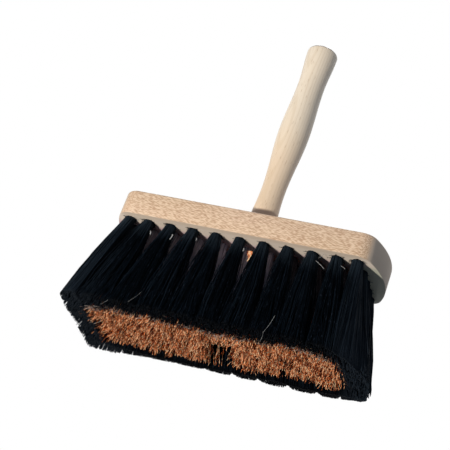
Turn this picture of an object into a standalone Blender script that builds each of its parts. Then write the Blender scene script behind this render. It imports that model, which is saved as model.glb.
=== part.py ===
"""Masonry brush: a turned handle glued into a drilled block that holds leaning tufts of fibre.

Metres, +Z up. The brush stands on its fibre tips at z = 0, with the origin under the middle of
the block. X runs along the block and Y runs across it, towards the back.
"""

import math
import random

import bmesh
import bpy

# Block
BLOCK_LENGTH = 0.200
BLOCK_WIDTH = 0.070
BLOCK_THICKNESS = 0.019
END_BOW_RADIUS = 0.066
CORNER_RADIUS = 0.0116
TOP_ROUNDING = 0.002

# Holes for the tufts, drilled into the block's lower face
HOLE_DIAMETER = 0.008
HOLE_DEPTH = 0.010
SIDE_ROW_INSET = 0.0094
END_COLUMN_INSET = 0.0147
END_COLUMN_GAP = 0.0145
INNER_COLUMNS = 9
INNER_ROWS = 3

# Fibres, from the block's lower face to their cut tips
BRISTLE_LENGTH = 0.073
SIDE_OVERHANG = 0.0075
END_OVERHANG = 0.0078
RIM_TIP_BAND = 0.0085
TIP_GAP = 0.0014
UNEVEN_TIP_STRIPS = 0.16
PACKED_LENGTH = 0.008
STRANDS_PER_TUFT = 8
STRAND_RADIUS = 0.00065
STRAND_SPLAY = 2.4
STRAND_ROOT_OVERLAP = 0.001
UNEVEN_TIPS = 0.0015

# Handle, with heights measured from the block's upper face
HANDLE_LENGTH = 0.165
FOOT_DIAMETER = 0.021
LOWER_NECK_DIAMETER = 0.0176
LOWER_NECK_HEIGHT = 0.0375
BELLY_DIAMETER = 0.0234
BELLY_HEIGHT = 0.090
UPPER_NECK_DIAMETER = 0.0204
UPPER_NECK_HEIGHT = 0.133
END_DIAMETER = 0.0236
END_ROUNDING = 0.002
TENON_DIAMETER = 0.014
TENON_LENGTH = 0.012

# Clearance between pieces that touch
CLEARANCE = 0.0003

# Facets
HOLE_SIDES = 8
STRAND_SIDES = 3
HANDLE_SIDES = 28
RING_STEP = 0.006

LOWER_FACE = BRISTLE_LENGTH
UPPER_FACE = LOWER_FACE + BLOCK_THICKNESS
GOLDEN_ANGLE = math.pi * (3 - math.sqrt(5))


def clear_scene():
    for thing in list(bpy.data.objects):
        bpy.data.objects.remove(thing)


def finish_material(name, colour, roughness):
    material = bpy.data.materials.new(name)
    material.use_nodes = True
    shader = material.node_tree.nodes["Principled BSDF"]
    shader.inputs["Base Color"].default_value = (*colour, 1.0)
    shader.inputs["Roughness"].default_value = roughness
    shader.inputs["Metallic"].default_value = 0.0
    return material


def new_object(name, bm, material=None):
    mesh = bpy.data.meshes.new(name)
    bm.to_mesh(mesh)
    bm.free()
    thing = bpy.data.objects.new(name, mesh)
    bpy.context.scene.collection.objects.link(thing)
    if material:
        mesh.materials.append(material)
    return thing


def new_cutter(name, bm):
    thing = new_object(name, bm)
    thing.hide_render = True
    thing.display_type = "WIRE"
    return thing


def combine(thing, other, operation):
    modifier = thing.modifiers.new(other.name, "BOOLEAN")
    modifier.operation = operation
    modifier.solver = "EXACT"
    modifier.object = other


def circle(x, y, z, radius, sides, turn=0.0):
    """Points of a level circle, anticlockwise from above."""
    angles = [turn + math.tau * k / sides for k in range(sides)]
    return [(x + radius * math.cos(a), y + radius * math.sin(a), z) for a in angles]


def add_drum(bm, rings):
    """Skin a stack of equal rings, lowest first, and cap both ends."""
    loops = [[bm.verts.new(point) for point in ring] for ring in rings]
    for low, high in zip(loops, loops[1:]):
        for k in range(len(low)):
            after = (k + 1) % len(low)
            bm.faces.new((low[k], low[after], high[after], high[k]))
    bm.faces.new(reversed(loops[0]))
    bm.faces.new(loops[-1])


def arc(x, y, z, radius, start, end, steps):
    angles = [start + (end - start) * k / steps for k in range(steps + 1)]
    return [(x + radius * math.cos(a), y + radius * math.sin(a), z) for a in angles]


def block_ring(z, inset):
    """The block's outline: straight sides, bowed ends and a fillet at each corner."""
    bow_x = BLOCK_LENGTH / 2 - END_BOW_RADIUS
    fillet_y = BLOCK_WIDTH / 2 - CORNER_RADIUS
    fillet_x = bow_x + math.sqrt((END_BOW_RADIUS - CORNER_RADIUS) ** 2 - fillet_y ** 2)
    meet = math.atan2(fillet_y, fillet_x - bow_x)
    quarter = math.pi / 2
    fillet = CORNER_RADIUS - inset
    bow = END_BOW_RADIUS - inset
    right = arc(fillet_x, -fillet_y, z, fillet, -quarter, -meet, 6)
    right += arc(bow_x, 0.0, z, bow, -meet, meet, 8)[1:-1]
    right += arc(fillet_x, fillet_y, z, fillet, meet, quarter, 6)
    left = [(-x, -y, level) for x, y, level in right]
    return right + left


def make_block(material):
    rings = [block_ring(LOWER_FACE, 0.0)]
    steps = 3
    for k in range(steps + 1):
        angle = math.pi / 2 * k / steps
        z = UPPER_FACE - TOP_ROUNDING * (1 - math.sin(angle))
        rings.append(block_ring(z, TOP_ROUNDING * (1 - math.cos(angle))))
    bm = bmesh.new()
    add_drum(bm, rings)
    return new_object("brush_block", bm, material)


def handle_radius(height):
    """Turned profile: each swelling runs into the next with a level tangent at both."""
    stations = [
        (0.0, FOOT_DIAMETER),
        (LOWER_NECK_HEIGHT, LOWER_NECK_DIAMETER),
        (BELLY_HEIGHT, BELLY_DIAMETER),
        (UPPER_NECK_HEIGHT, UPPER_NECK_DIAMETER),
        (HANDLE_LENGTH - END_ROUNDING, END_DIAMETER),
    ]
    for (low, wide_low), (high, wide_high) in zip(stations, stations[1:]):
        if height <= high:
            share = (1 - math.cos(math.pi * (height - low) / (high - low))) / 2
            return (wide_low + (wide_high - wide_low) * share) / 2
    return END_DIAMETER / 2


def make_handle(material):
    foot = UPPER_FACE + CLEARANCE
    top = UPPER_FACE + HANDLE_LENGTH
    straight = HANDLE_LENGTH - END_ROUNDING - CLEARANCE
    steps = math.ceil(straight / RING_STEP)
    tenon = TENON_DIAMETER / 2
    stack = [(UPPER_FACE - TENON_LENGTH, tenon), (foot, tenon)]
    for k in range(steps + 1):
        z = foot + straight * k / steps
        stack.append((z, handle_radius(z - UPPER_FACE)))
    for angle in (math.pi / 6, math.pi / 3, math.pi / 2):
        radius = END_DIAMETER / 2 - END_ROUNDING * (1 - math.cos(angle))
        stack.append((top - END_ROUNDING * (1 - math.sin(angle)), radius))
    bm = bmesh.new()
    add_drum(bm, [circle(0.0, 0.0, z, radius, HANDLE_SIDES) for z, radius in stack])
    handle = new_object("handle", bm, material)
    handle.data.shade_smooth()
    handle.data.set_sharp_from_angle(angle=math.radians(40))
    return handle


def hole_places(half_span, end_gap, inner):
    """Places of the holes in a row: one at each end, and the inner ones evenly between."""
    inner_half = half_span - end_gap
    pitch = 2 * inner_half / (inner - 1)
    return [-half_span] + [pitch * k - inner_half for k in range(inner)] + [half_span]


def tip_strips(half_span, inner, unevenness, dice):
    """Middle and half width of the strip of the cut face that each tuft's tips spread over.

    The inner strips share the width that the rim leaves, alike on both sides of the middle.
    """
    inner_half = half_span - RIM_TIP_BAND
    pitch = 2 * inner_half / inner
    edges = [pitch * k - inner_half for k in range(inner + 1)]
    for k in range(1, (inner + 1) // 2):
        shift = dice.uniform(-unevenness, unevenness) * pitch
        edges[k] -= shift
        edges[inner - k] += shift
    edges = [-half_span] + edges + [half_span]
    return [((low + high) / 2, (high - low - TIP_GAP) / 2) for low, high in zip(edges, edges[1:])]


def tuft_grid():
    """Root place, tip place, tip spread and name of every tuft."""
    side_row = BLOCK_WIDTH / 2 - SIDE_ROW_INSET
    end_column = BLOCK_LENGTH / 2 - END_COLUMN_INSET
    row_gap = 2 * side_row / (INNER_ROWS + 1)
    root_x = hole_places(end_column, END_COLUMN_GAP, INNER_COLUMNS)
    root_y = hole_places(side_row, row_gap, INNER_ROWS)
    tip_y = tip_strips(BLOCK_WIDTH / 2 + SIDE_OVERHANG, INNER_ROWS, 0.0, random)
    last_column = len(root_x) - 1
    last_row = len(root_y) - 1
    for row in range(len(root_y)):
        from_middle = abs(2 * row - last_row)
        dice = random.Random(from_middle)
        reach = BLOCK_LENGTH / 2 + END_OVERHANG
        tip_x = tip_strips(reach, INNER_COLUMNS, UNEVEN_TIP_STRIPS, dice)
        for column in range(len(root_x)):
            if missing(column, row):
                continue
            yield {
                "name": tuft_name(column, row, last_column, last_row),
                "rim": row in (0, last_row) or column in (0, last_column),
                "root": (root_x[column], root_y[row]),
                "tip": (tip_x[column][0], tip_y[row][0]),
                "spread": (tip_x[column][1], tip_y[row][1]),
                "seed": f"{abs(2 * column - last_column)} {from_middle}",
            }


def missing(column, row):
    """No hole is drilled under the handle's tenon, nor just behind it."""
    middle_column = (INNER_COLUMNS + 1) // 2
    middle_row = (INNER_ROWS + 1) // 2
    return column == middle_column and row in (middle_row, middle_row + 1)


def tuft_name(column, row, last_column, last_row):
    if row == 0:
        return f"rim_tuft_front_{column + 1:02d}"
    if row == last_row:
        return f"rim_tuft_back_{column + 1:02d}"
    if column == 0:
        return f"rim_tuft_left_{row}"
    if column == last_column:
        return f"rim_tuft_right_{row}"
    return f"core_tuft_row_{row}_{column:02d}"


def lean(tuft):
    """Sideways run per metre of drop. Rim holes are drilled aslant, and core holes square."""
    if not tuft["rim"]:
        return (0.0, 0.0)
    return tuple((tip - root) / BRISTLE_LENGTH for root, tip in zip(tuft["root"], tuft["tip"]))


def slanted_ring(tuft, z, radius):
    run = lean(tuft)
    drop = LOWER_FACE - z
    x = tuft["root"][0] + run[0] * drop
    y = tuft["root"][1] + run[1] * drop
    return circle(x, y, z, radius, HOLE_SIDES)


def cut_holes(block, tufts):
    bm = bmesh.new()
    for tuft in tufts:
        below = LOWER_FACE - CLEARANCE
        end = LOWER_FACE + HOLE_DEPTH
        radius = HOLE_DIAMETER / 2
        add_drum(bm, [slanted_ring(tuft, z, radius) for z in (below, end)])
    combine(block, new_cutter("tuft_holes", bm), "DIFFERENCE")


def cut_mortise(block):
    radius = TENON_DIAMETER / 2 + CLEARANCE
    floor = UPPER_FACE - TENON_LENGTH - CLEARANCE
    mouth = UPPER_FACE + CLEARANCE
    bm = bmesh.new()
    add_drum(bm, [circle(0.0, 0.0, z, radius, HANDLE_SIDES) for z in (floor, mouth)])
    combine(block, new_cutter("handle_mortise", bm), "DIFFERENCE")


def packed_ring(tuft, z):
    """Level section of the packed fibres just below the block, on their way to the tips."""
    drop = (LOWER_FACE - z) / BRISTLE_LENGTH
    radius = HOLE_DIAMETER / 2 - CLEARANCE
    middle = [r + (t - r) * drop for r, t in zip(tuft["root"], tuft["tip"])]
    reach = [radius + (spread - radius) * drop for spread in tuft["spread"]]
    unit = circle(0.0, 0.0, z, 1.0, HOLE_SIDES)
    return [(middle[0] + reach[0] * x, middle[1] + reach[1] * y, z) for x, y, _ in unit]


def strand_places(dice):
    """Offsets of the strands from their tuft's axis, as shares of its radius."""
    turn = dice.uniform(0.0, math.tau)
    for k in range(STRANDS_PER_TUFT):
        reach = math.sqrt((k + 0.5) / STRANDS_PER_TUFT)
        angle = turn + GOLDEN_ANGLE * k
        yield reach * math.cos(angle), reach * math.sin(angle)


def square_share(share):
    """The same direction, with the round of roots drawn out to the square of tips."""
    across = max(abs(share[0]), abs(share[1]))
    stretch = math.hypot(*share) / across
    return share[0] * stretch, share[1] * stretch


def strand_rings(tuft, share, tip_height, turn):
    """Level sections of a straight strand, from its cut tip up into the packed fibres.

    The strands fan out from the tuft's round root to the strip of its tips, each in its own
    direction, and a strand thickens by less than that spread, so that no two cross.
    """
    packed = HOLE_DIAMETER / 2 - CLEARANCE
    root_reach = packed - 1.25 * STRAND_RADIUS
    corners = circle(0.0, 0.0, 0.0, STRAND_RADIUS, STRAND_SIDES, turn)
    tip_share = square_share(share)
    rings = []
    for z in (tip_height, LOWER_FACE - PACKED_LENGTH + STRAND_ROOT_OVERLAP):
        drop = (LOWER_FACE - z) / BRISTLE_LENGTH
        middle = []
        growth = []
        for axis in (0, 1):
            spread = tuft["spread"][axis]
            splay = min(spread / packed, STRAND_SPLAY)
            root = tuft["root"][axis] + share[axis] * root_reach
            tip = tuft["tip"][axis] + tip_share[axis] * (spread - STRAND_RADIUS * splay)
            middle.append(root + (tip - root) * drop)
            growth.append(1 + (splay - 1) * drop)
        ring = [(middle[0] + growth[0] * x, middle[1] + growth[1] * y, z) for x, y, _ in corners]
        rings.append(ring)
    return rings


def mirror_to(bm, tuft):
    """Turn a tuft made beside its mirror twin into the one for its own quarter."""
    flip_x = tuft["root"][0] < 0
    flip_y = tuft["root"][1] < 0
    for vert in bm.verts:
        if flip_x:
            vert.co.x = -vert.co.x
        if flip_y:
            vert.co.y = -vert.co.y
    if flip_x != flip_y:
        bmesh.ops.reverse_faces(bm, faces=bm.faces)


def first_quarter(tuft):
    twin = dict(tuft)
    twin["root"] = tuple(abs(value) for value in tuft["root"])
    twin["tip"] = tuple(abs(value) for value in tuft["tip"])
    return twin


def make_tuft(tuft, material):
    """A root that fills its hole and runs on below it, with the strands fused to its end."""
    twin = first_quarter(tuft)
    root = bmesh.new()
    end = LOWER_FACE + HOLE_DEPTH - CLEARANCE
    radius = HOLE_DIAMETER / 2 - CLEARANCE
    in_hole = [slanted_ring(twin, z, radius) for z in (LOWER_FACE, end)]
    add_drum(root, [packed_ring(twin, LOWER_FACE - PACKED_LENGTH)] + in_hole)
    mirror_to(root, tuft)
    strands = bmesh.new()
    dice = random.Random(tuft["seed"])
    for share in strand_places(dice):
        tip_height = max(0.0, dice.uniform(-UNEVEN_TIPS, UNEVEN_TIPS))
        turn = dice.uniform(0.0, math.tau)
        add_drum(strands, strand_rings(twin, share, tip_height, turn))
    mirror_to(strands, tuft)
    thing = new_object(tuft["name"], root, material)
    combine(thing, new_cutter(tuft["name"] + "_strands", strands), "UNION")


def build():
    clear_scene()
    beech = finish_material("beech", (0.70, 0.50, 0.31), 0.6)
    turned = finish_material("turned_handle", (0.80, 0.66, 0.46), 0.5)
    black = finish_material("black_fibre", (0.012, 0.013, 0.016), 0.45)
    coco = finish_material("coco_fibre", (0.50, 0.19, 0.06), 0.75)
    tufts = list(tuft_grid())
    block = make_block(beech)
    cut_holes(block, tufts)
    cut_mortise(block)
    make_handle(turned)
    for tuft in tufts:
        make_tuft(tuft, black if tuft["rim"] else coco)


build()
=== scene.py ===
"""Looks of the masonry brush: rounded wood, thousands of single fibres, light and camera.

Metres, in the part's frame: +Z up, X along the block, +Y to the back, fibre tips at z = 0.
Values are in millimetres only where their heading says so.
"""

import math
import random

import bmesh
import bpy
import numpy as np
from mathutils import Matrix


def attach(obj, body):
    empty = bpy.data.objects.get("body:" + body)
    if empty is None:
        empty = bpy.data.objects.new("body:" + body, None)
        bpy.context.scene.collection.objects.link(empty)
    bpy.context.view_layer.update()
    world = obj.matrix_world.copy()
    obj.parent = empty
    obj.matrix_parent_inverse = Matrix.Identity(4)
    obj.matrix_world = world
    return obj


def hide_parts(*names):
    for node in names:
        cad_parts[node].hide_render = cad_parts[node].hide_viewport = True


# Block, as in the part
BLOCK_LENGTH = 0.200
BLOCK_WIDTH = 0.070
BLOCK_THICKNESS = 0.019
END_BOW_RADIUS = 0.066
CORNER_RADIUS = 0.0116
TOP_ROUNDING = 0.002
HOLE_DIAMETER = 0.008
HOLE_DEPTH = 0.010
SIDE_ROW_INSET = 0.0094
END_COLUMN_INSET = 0.0147
END_COLUMN_GAP = 0.0145
INNER_COLUMNS = 9
INNER_ROWS = 3
LAST_COLUMN = INNER_COLUMNS + 1
LAST_ROW = INNER_ROWS + 1
CLEARANCE = 0.0003

# Handle, as in the part: heights from the block's upper face, each with its diameter
HANDLE_LENGTH = 0.165
END_ROUNDING = 0.002
HANDLE_STATIONS = [
    (0.0, 0.0210),
    (0.0375, 0.0176),
    (0.090, 0.0234),
    (0.133, 0.0204),
    (HANDLE_LENGTH - END_ROUNDING, 0.0236),
]
TENON_DIAMETER = 0.014
TENON_LENGTH = 0.012

# Fibres, as in the part
BRISTLE_LENGTH = 0.073
SIDE_OVERHANG = 0.0075
END_OVERHANG = 0.0078
RIM_TIP_BAND = 0.0085
UNEVEN_TIP_STRIPS = 0.16

LOWER_FACE = BRISTLE_LENGTH
UPPER_FACE = LOWER_FACE + BLOCK_THICKNESS
GOLDEN_ANGLE = math.pi * (3 - math.sqrt(5))

# Small edges that only the scene has
BOTTOM_ROUNDING = 0.0004
FOOT_CHAMFER = 0.0003

# Facets, and the sharpest bends that are shaded smooth, in degrees
CORNER_STEPS = 14
BOW_STEPS = 18
TOP_STEPS = 6
BOTTOM_STEPS = 2
HOLE_SIDES = 28
HANDLE_SIDES = 72
HANDLE_STEPS = 80
END_STEPS = 8
BLOCK_CREASE = 38
HANDLE_CREASE = 40

# Single fibres of a tuft, and the shares of their drop at which each has a ring of corners
BLACK_FIBRES = 260
COCO_FIBRES = 270
BLACK_RADIUS = 0.00027
COCO_RADIUS = 0.00022
UNEVEN_RADIUS = (0.8, 1.2)
TIP_TAPER = 0.85
FIBRE_SIDES = 4
FIBRE_DROPS = (0.0, 0.05, 0.14, 0.30, 0.50, 0.70, 0.84, 0.92, 0.97, 1.0)
PACKED_RADIUS = 0.00378
UNEVEN_PACKING = 0.02
ROOT_IN_HOLE = 0.004
FAN_BEND = 0.05
SCALLOP_POWER = 5
FOLLOWING = (0.3, 1.0)
SHORT_BY = (0.002, 0.014)
SEED_SHIFT = 7

# Bends of a fibre: turns over its length, each with its size, and where its end curls
WAVES = ((0.7, 1.0), (1.6, 0.45))
SHARED_WAVES = 0.6
FRIZZ_FROM = 0.9
CURL_FROM = (0.68, 0.9)
CURL_REACH = 0.010

# Shades run from dark at 0 to light at 1, and past the plain ones are those of loose fibres
PLAIN_SHADES = 0.9
COCO_CONTRAST = 0.45
PALE_SHADES = (0.93, 1.0)
STUB_SHADE = 0.4
LOOSE_LEVEL = 0.94

# Half sizes of the even field of tips, as in the part, in millimetres
RIM_HALF_LENGTH = (BLOCK_LENGTH / 2 + END_OVERHANG) * 1000
RIM_HALF_WIDTH = (BLOCK_WIDTH / 2 + SIDE_OVERHANG) * 1000
RIM_BAND = RIM_TIP_BAND * 1000
CORE_HALF_LENGTH = RIM_HALF_LENGTH - RIM_BAND
CORE_HALF_WIDTH = RIM_HALF_WIDTH - RIM_BAND

# Where use has spread the tips to, in millimetres: even places along the block with the real
# ones, the real edges across it as pairs of a place along and a place across, the edges between
# the back tufts, and how far the left end flares out towards the back, over which places
TIP_X = [(-RIM_HALF_LENGTH, -112.5), (-CORE_HALF_LENGTH, -97.0), (0.0, 0.0), (CORE_HALF_LENGTH, 91.3),
         (RIM_HALF_LENGTH, 107.2)]
FRONT_CORE_EDGE = [(-100, -17), (-80, -18.5), (-60, -19.5), (-20, -18), (15, -19), (35, -20), (50, -23),
                   (68, -23), (80, -19), (90, -12)]
BACK_CORE_EDGE = [(-100, 39), (-75, 40.5), (-50, 42), (-17, 41), (0, 38.5), (10, 37), (26, 37.5),
                  (36, 34.5), (50, 37.5), (60, 37.5), (70, 36.5), (90, 33.5)]
BACK_OUTLINE = [(-112, 53.7), (-98, 53.7), (-85, 51), (-56, 47), (-30, 46), (0, 45.5), (40, 45),
                (70, 44), (90, 42.5), (95, 42.5), (98, 46), (106, 44.5)]
BACK_TUFT_EDGES = (-112, -90, -66, -43, -19.5, 3, 22.5, 45, 67, 84, 97, 108)
LEFT_BACK_FLARE = 4.0
FLARE_X = (-112.0, -92.0)
FLARE_Y = (5.0, 53.0)

# The two areas of tips, in millimetres: half width, half length, and how square the corners are
# at the front left, front right, back left and back right
CORE_AREA = (CORE_HALF_WIDTH, CORE_HALF_LENGTH, (6.0, 6.0, 12.0, 4.5))
RIM_AREA = (RIM_HALF_WIDTH, RIM_HALF_LENGTH, (20.0, 8.0, 80.0, 8.0))

# The opening in the core, in millimetres: half width and front edge of the strips of the two
# missing tufts, and the sides that the real opening has, each as its place at y = 0 and its slope
MISSING_STRIP = 10.6
MISSING_FRONT = -6.7
OPENING = {
    "apex": -0.5, "left": (-9.2, -0.22), "right": (13.2, -0.19), "reach": 24.0, "overlap": 2.0,
    "front": -20.0, "most": 1.2, "uneven": 0.8, "strays": 0.05, "stray_reach": 9.0,
}

# How far the front row's heads lie off their even places, as pairs of a column and a distance
FRONT_DRIFT_X = [(1, 0.0), (3, -0.0010), (10, -0.0012)]
FRONT_DRIFT_Y = [(4, 0.0), (10, -0.0008)]

# How much shorter the tips at the front are worn, from where across the block, and over how far
WORN_RISE = 0.0016
WORN_FROM = -0.012
WORN_OVER = 0.012

# Ends of core fibres that are bent out over the rim's tips, to the left and to the front
FRINGE_SHARE = 0.34
FRINGE_EDGE = -0.35
FRINGE_REACH = (0.004, 0.011)
FRINGE_BEND = (0.2, 1.0)
FRINGE_SIDEWAYS = 0.002
FRINGE_FROM = 0.9
FRINGE_POWER = 1.6
FRINGE_HEIGHT = (0.0001, 0.001)
PALE_FROM = 0.2

# Short ends that stand out round the head of each tuft, and the bow of loose fibres
STUBS = 26
STUB_RING = 0.95
STUB_REACH = (0.0006, 0.0028)
STUB_DROP = 0.001
STUB_BELOW = 0.0004
STUB_UNEVEN = 0.0004
LOOSE_BOW = 0.0004

# Loose fibres of each tuft, in millimetres: radius, shade and two ends
LOOSE_FIBRES = {
    "rim_tuft_front_01": [
        (0.08, 1.0, (-91.6, -29.0, 0.2), (-87.3, -36.0, 0.2)),
        (0.18, 1.0, (-78.1, -30.3, 69.7), (-77.4, -29.6, 72.6)),
    ],
    "rim_tuft_front_02": [
        (0.08, 1.0, (-78.5, -33.0, 0.2), (-69.1, -43.6, 0.3)),
        (0.40, 1.0, (-64.9, -31.3, 63.5), (-63.8, -31.9, 60.5)),
    ],
    "rim_tuft_front_03": [
        (0.06, 1.0, (-55.4, -42.5, 2.4), (-49.3, -40.7, 12.5)),
        (0.40, 1.0, (-47.9, -31.3, 64.0), (-48.2, -32.2, 59.6)),
    ],
    "rim_tuft_front_05": [(0.28, 1.0, (-30.2, -31.1, 65.0), (-29.8, -31.5, 62.7))],
    "rim_tuft_front_07": [(0.32, 1.0, (5.5, -31.2, 64.3), (5.7, -31.7, 61.7))],
    "rim_tuft_front_09": [
        (0.10, 1.0, (45.5, -40.0, 15.9), (42.8, -43.7, 0.8)),
        (0.10, 1.0, (42.8, -43.7, 0.8), (38.1, -29.6, 0.4)),
        (0.22, 1.0, (57.4, -31.0, 65.5), (64.7, -32.0, 60.3)),
        (0.15, 1.0, (58.5, -30.5, 68.4), (60.7, -29.8, 72.2)),
    ],
    "rim_tuft_front_10": [(0.22, 1.0, (75.0, -31.1, 65.4), (78.4, -31.4, 63.6))],
    "core_tuft_row_1_04": [
        (0.18, 0.90, (5.3, -30.8, 0.7), (-6.4, -13.0, 0.7)),
        (0.14, 0.95, (3.3, -25.0, 0.7), (-6.7, -5.5, 0.7)),
        (0.14, 0.95, (-1.7, -11.0, 0.7), (-1.9, 5.5, 0.7)),
    ],
    "core_tuft_row_1_06": [
        (0.40, 0.90, (12.4, -31.3, 62.8), (11.7, -32.2, 56.0)),
        (0.40, 0.90, (11.6, -31.3, 63.2), (11.0, -32.0, 57.5)),
        (0.40, 0.90, (10.8, -31.2, 63.2), (10.4, -31.8, 59.0)),
        (0.40, 0.90, (10.0, -31.2, 63.0), (9.8, -31.7, 60.0)),
        (0.30, 0.60, (9.1, -31.1, 62.8), (9.2, -31.6, 60.6)),
        (0.40, 0.90, (12.0, -31.6, 58.5), (11.4, -32.4, 54.5)),
        (0.30, 0.40, (15.0, -15.0, 69.0), (12.0, -31.3, 62.8)),
        (0.30, 0.50, (14.5, -15.0, 69.0), (10.4, -31.2, 63.1)),
    ],
    "core_tuft_row_2_04": [
        (0.10, 0.75, (-14.5, 1.0, 66.0), (-4.0, 16.6, 1.2)),
        (0.20, 0.70, (-4.8, -27.1, 0.7), (-10.3, -6.0, 0.7)),
    ],
    "core_tuft_row_2_06": [(0.10, 0.35, (16.0, 1.0, 66.0), (1.0, 10.2, 1.0))],
    "core_tuft_row_3_04": [
        (0.12, 0.80, (-12.5, 15.0, 66.0), (-9.5, 35.0, 1.0)),
        (0.11, 0.85, (-13.0, 13.0, 66.0), (-3.3, 31.1, 0.8)),
        (0.18, 0.65, (-9.8, -2.0, 0.7), (-16.1, 21.3, 0.7)),
        (0.18, 0.75, (-9.7, 2.3, 0.7), (-15.1, 31.5, 0.7)),
        (0.22, 0.86, (-4.4, -3.8, 0.7), (-10.8, 22.1, 0.7)),
        (0.20, 0.84, (-10.8, 22.1, 0.7), (-11.7, 33.9, 0.7)),
        (0.18, 0.72, (-7.1, 2.7, 0.7), (-13.6, 28.1, 0.7)),
        (0.16, 0.95, (-4.4, 7.5, 0.7), (-8.9, 33.3, 0.7)),
    ],
    "core_tuft_row_3_06": [
        (0.12, 0.85, (15.0, 14.0, 66.0), (3.2, 20.1, 1.5)),
        (0.14, 0.95, (1.2, 11.1, 0.7), (-2.6, 29.2, 0.7)),
        (0.16, 0.95, (7.7, -5.3, 0.7), (-5.2, 17.5, 0.7)),
        (0.24, 0.88, (11.1, 0.7, 0.7), (1.0, 22.1, 0.7)),
    ],
}

# How the fibres of a tuft lie, in metres: their number and thickness as shares of the usual ones,
# the strip that their tips fill, how far tips stray from it, the clumps that they are pulled
# into, how uneven their lengths are, and how they bend and fan out
BLACK_STYLE = {
    "many": 1.0, "thick": 1.0,
    "fill": 1.01, "round": 5.0, "crowd": 1.0, "scallop": 0.0,
    "stray": 0.0003, "wild_share": 0.01, "wild": 0.0015, "mingle": (0.0, 0.0),
    "pull": 0.3, "clumps": 20,
    "uneven": 0.0003, "step": 0.0005, "short_share": 0.02,
    "wave": 0.0012, "curl": 0.004, "frizz": 0.0002, "fan": (0.6, 1.1),
}
LOBE_STYLE = {
    **BLACK_STYLE, "thick": 1.5, "fill": (1.04, 1.0), "round": 9.0, "crowd": 0.72, "scallop": 1.7,
    "stray": 0.0001, "wild_share": 0.0, "pull": 0.1, "uneven": 0.0002, "step": 0.0004,
    "short_share": 0.0, "curl": 0.0, "frizz": 0.0, "fan": (0.5, 0.9),
}
CORNER_STYLE = {
    **LOBE_STYLE, "many": 1.5, "fill": 1.0, "round": 30.0, "crowd": 0.75, "scallop": 0.0,
    "stray": 0.0003, "pull": 0.0, "step": 0.0003, "wave": 0.0006,
}
END_STYLE = {**CORNER_STYLE, "many": 1.2, "crowd": 0.9, "stray": 0.0004, "uneven": 0.0010, "step": 0.0020}
SIDE_STYLE = {
    **BLACK_STYLE, "thick": 1.25, "round": 9.0, "crowd": 0.75, "wild_share": 0.0, "pull": 0.15,
    "uneven": 0.0002, "wave": 0.0006, "curl": 0.0,
}
RIGHT_STYLE = {**SIDE_STYLE, "mingle": (0.3, 0.0035), "uneven": 0.0012, "step": 0.0025}
COCO_STYLE = {
    **BLACK_STYLE, "round": 8.0, "stray": 0.0006, "wild_share": 0.03, "wild": 0.0012, "pull": 0.62,
    "clumps": 18, "uneven": 0.0018, "step": 0.0036, "short_share": 0.06, "curl": 0.10,
    "frizz": 0.0005, "fan": (0.85, 1.1),
}
COCO_RIGHT_STYLE = {**COCO_STYLE, "uneven": 0.0030, "step": 0.0070, "curl": 0.15}
COCO_END_STYLE = {**COCO_RIGHT_STYLE, "mingle": (0.5, 0.0035)}

# Which tufts have which style: core tufts by column, and rim tufts by name or else by side
CORE_STYLES = {INNER_COLUMNS - 1: COCO_RIGHT_STYLE, INNER_COLUMNS: COCO_END_STYLE}
NAMED_STYLES = {
    "rim_tuft_front_01": CORNER_STYLE,
    "rim_tuft_front_11": END_STYLE,
    "rim_tuft_back_01": CORNER_STYLE,
    "rim_tuft_back_02": {**LOBE_STYLE, "scallop": 0.3},
    "rim_tuft_back_03": {**LOBE_STYLE, "scallop": 0.5},
    "rim_tuft_back_04": {**LOBE_STYLE, "scallop": 1.0},
}
RIM_STYLES = {"front": BLACK_STYLE, "back": LOBE_STYLE, "left": SIDE_STYLE, "right": RIGHT_STYLE}

# Baking map: a fibre's column is so many times as high as wide, and holds its sides and its tip
MAP_TALLNESS = 12
MAP_SIDE_MARGIN = 0.06
MAP_SIDES_FROM, MAP_SIDES_HEIGHT = 0.02, 0.90
MAP_TIP_FROM, MAP_TIP_HEIGHT = 0.94, 0.05
MAP_TIP_LEFT, MAP_TIP_RIGHT = 0.1, 0.9

# Wood: the heights between which the block's painted shadow on the handle's foot fades and the
# slope of that edge, the height where the handle's painted shade ends, and the depth of the grain
FOOT_SHADOW_EDGE = (UPPER_FACE + 0.0154, UPPER_FACE + 0.0178)
FOOT_SHADOW_SLOPE = 0.14
FOOT_SHADE_TOP = UPPER_FACE + 0.11
WOOD_RELIEF = 0.00006

# Camera, found by fitting the block and the handle to the photograph
CAMERA_PLACE = (0.295335, -0.799063, -0.317433)
CAMERA_TURN = (117.1196, -18.5513, 12.6580)
CAMERA_LENS = 105.498
SENSOR_WIDTH = 36.0
CLIP_START, CLIP_END = 0.01, 50.0

# Light and floor
TOWARD_KEY = (-0.33, -0.80, -0.50)
TOWARD_TOP = (-0.15, 0.45, 0.88)
LIGHT_DISTANCE = 1.0
KEY_SIZE = 0.055
KEY_WATTS = 10.2
TOP_STRENGTH = 2.0
TOP_SOFTNESS = 30.0
FILL_ABOVE = (0.36, 0.41, 0.49, 1.0)
FILL_BELOW = (0.048, 0.064, 0.095, 1.0)
FILL_LEVELS = (-0.5, 0.5)
FLOOR_GREY = 0.55
FLOOR_GLOW = 0.5
FLOOR_SIZE = 6.0
FLOOR_LEVEL = -0.0003


def rgb(red, green, blue):
    """Linear colour from sRGB bytes."""
    parts = [value / 255 for value in (red, green, blue)]
    linear = [v / 12.92 if v <= 0.04045 else ((v + 0.055) / 1.055) ** 2.4 for v in parts]
    return (*linear, 1.0)


def grey(value):
    return (value, value, value, 1.0)


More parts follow.
